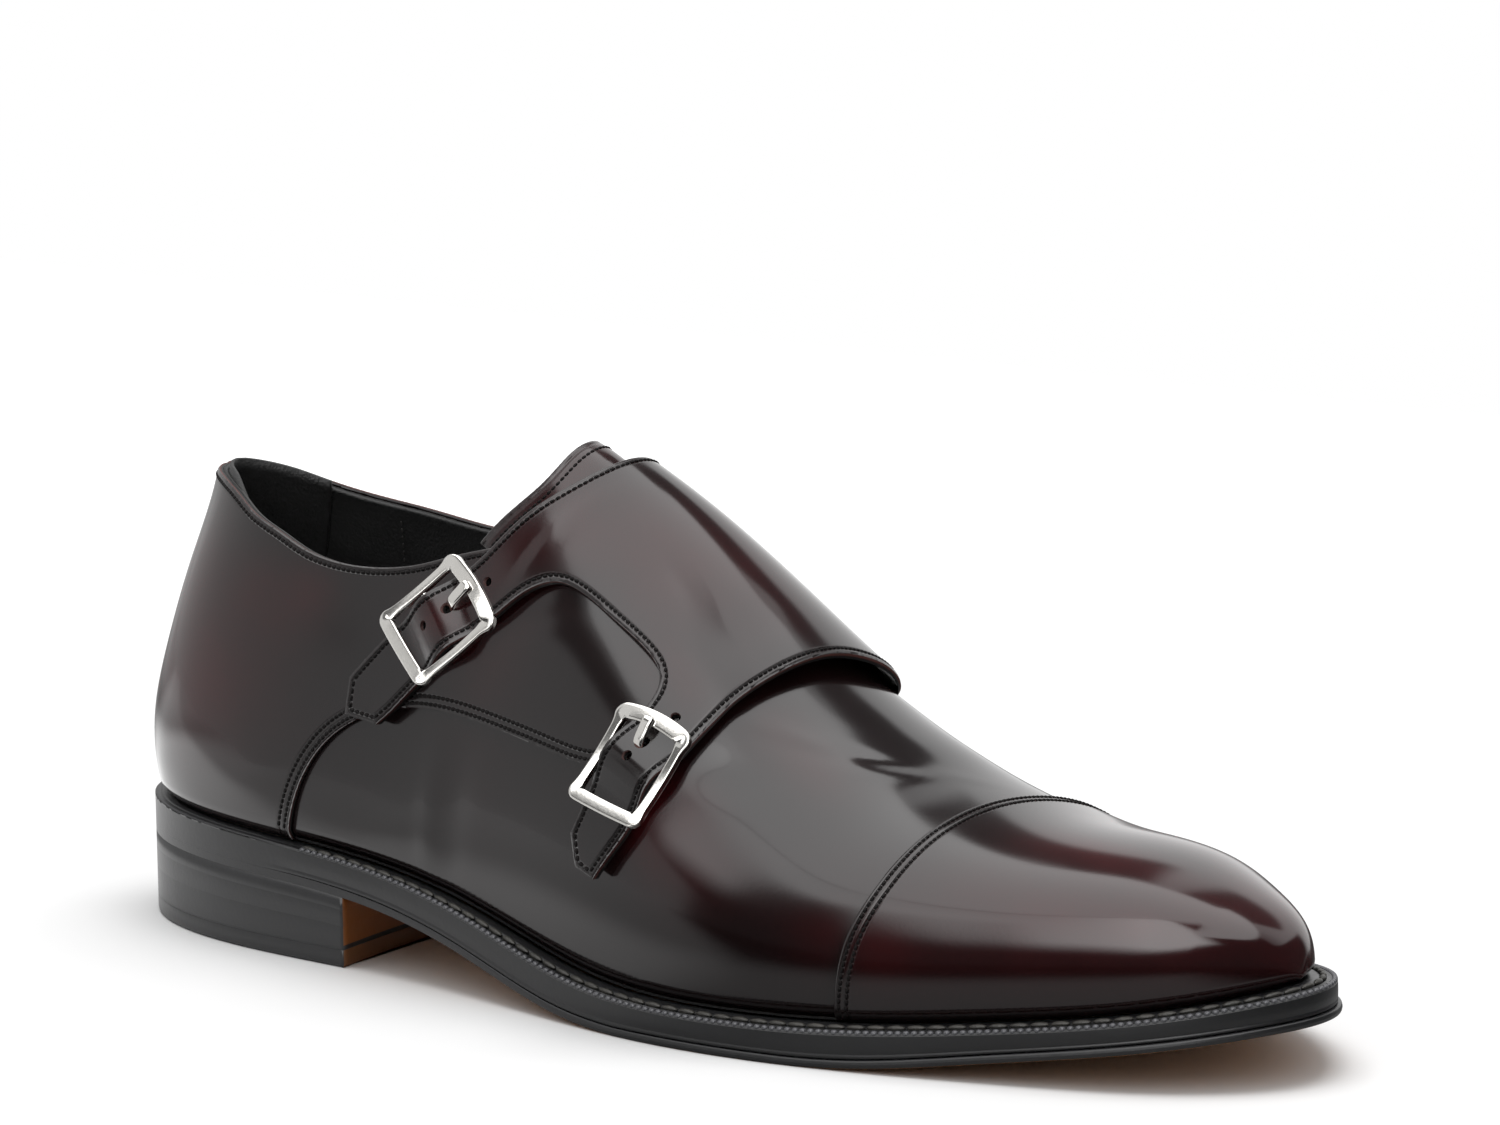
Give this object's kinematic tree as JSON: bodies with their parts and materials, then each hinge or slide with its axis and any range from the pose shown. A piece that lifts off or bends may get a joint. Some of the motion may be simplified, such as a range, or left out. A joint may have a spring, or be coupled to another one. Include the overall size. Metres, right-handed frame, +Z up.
{
  "type": "double monk strap shoe",
  "caption": "Cap toe leather dress shoe closed over the instep by buckled straps, on a welted leather sole with a stacked heel.",
  "frame": {"origin": "on the floor, at the middle of the shoe's floor rectangle", "axes": "+X towards the toe, +Y towards the wearer's left (the medial side of this right shoe), +Z up from the floor"},
  "size_m": [0.3028, 0.1018, 0.1118],
  "materials": {
    "upper_leather": "burgundy calf, burnished towards black and mirror polished",
    "quarter_leather": "near black burgundy calf, mirror polished",
    "lining_leather": "black lining leather, matt",
    "edge_dressing": "black edge dressing, waxed",
    "sole_leather": "oak tanned sole leather, black edge",
    "stacked_leather": "stacked leather, black edge dressing",
    "rubber_lift": "black rubber top lift, matt",
    "nickel": "polished nickel plate"
  },
  "bodies": {
    "root": {"upper": "upper_leather", "toe_cap": "upper_leather", "quarter": "quarter_leather", "monk_flap": "quarter_leather", "tongue": "lining_leather", "insole": "lining_leather", "welt": "edge_dressing", "outsole": "sole_leather", "heel_stack": "stacked_leather", "top_lift": "rubber_lift", "buckle_upper": "nickel", "buckle_lower": "nickel", "prong_upper": "nickel", "prong_lower": "nickel"}
  },
  "joints": []
}
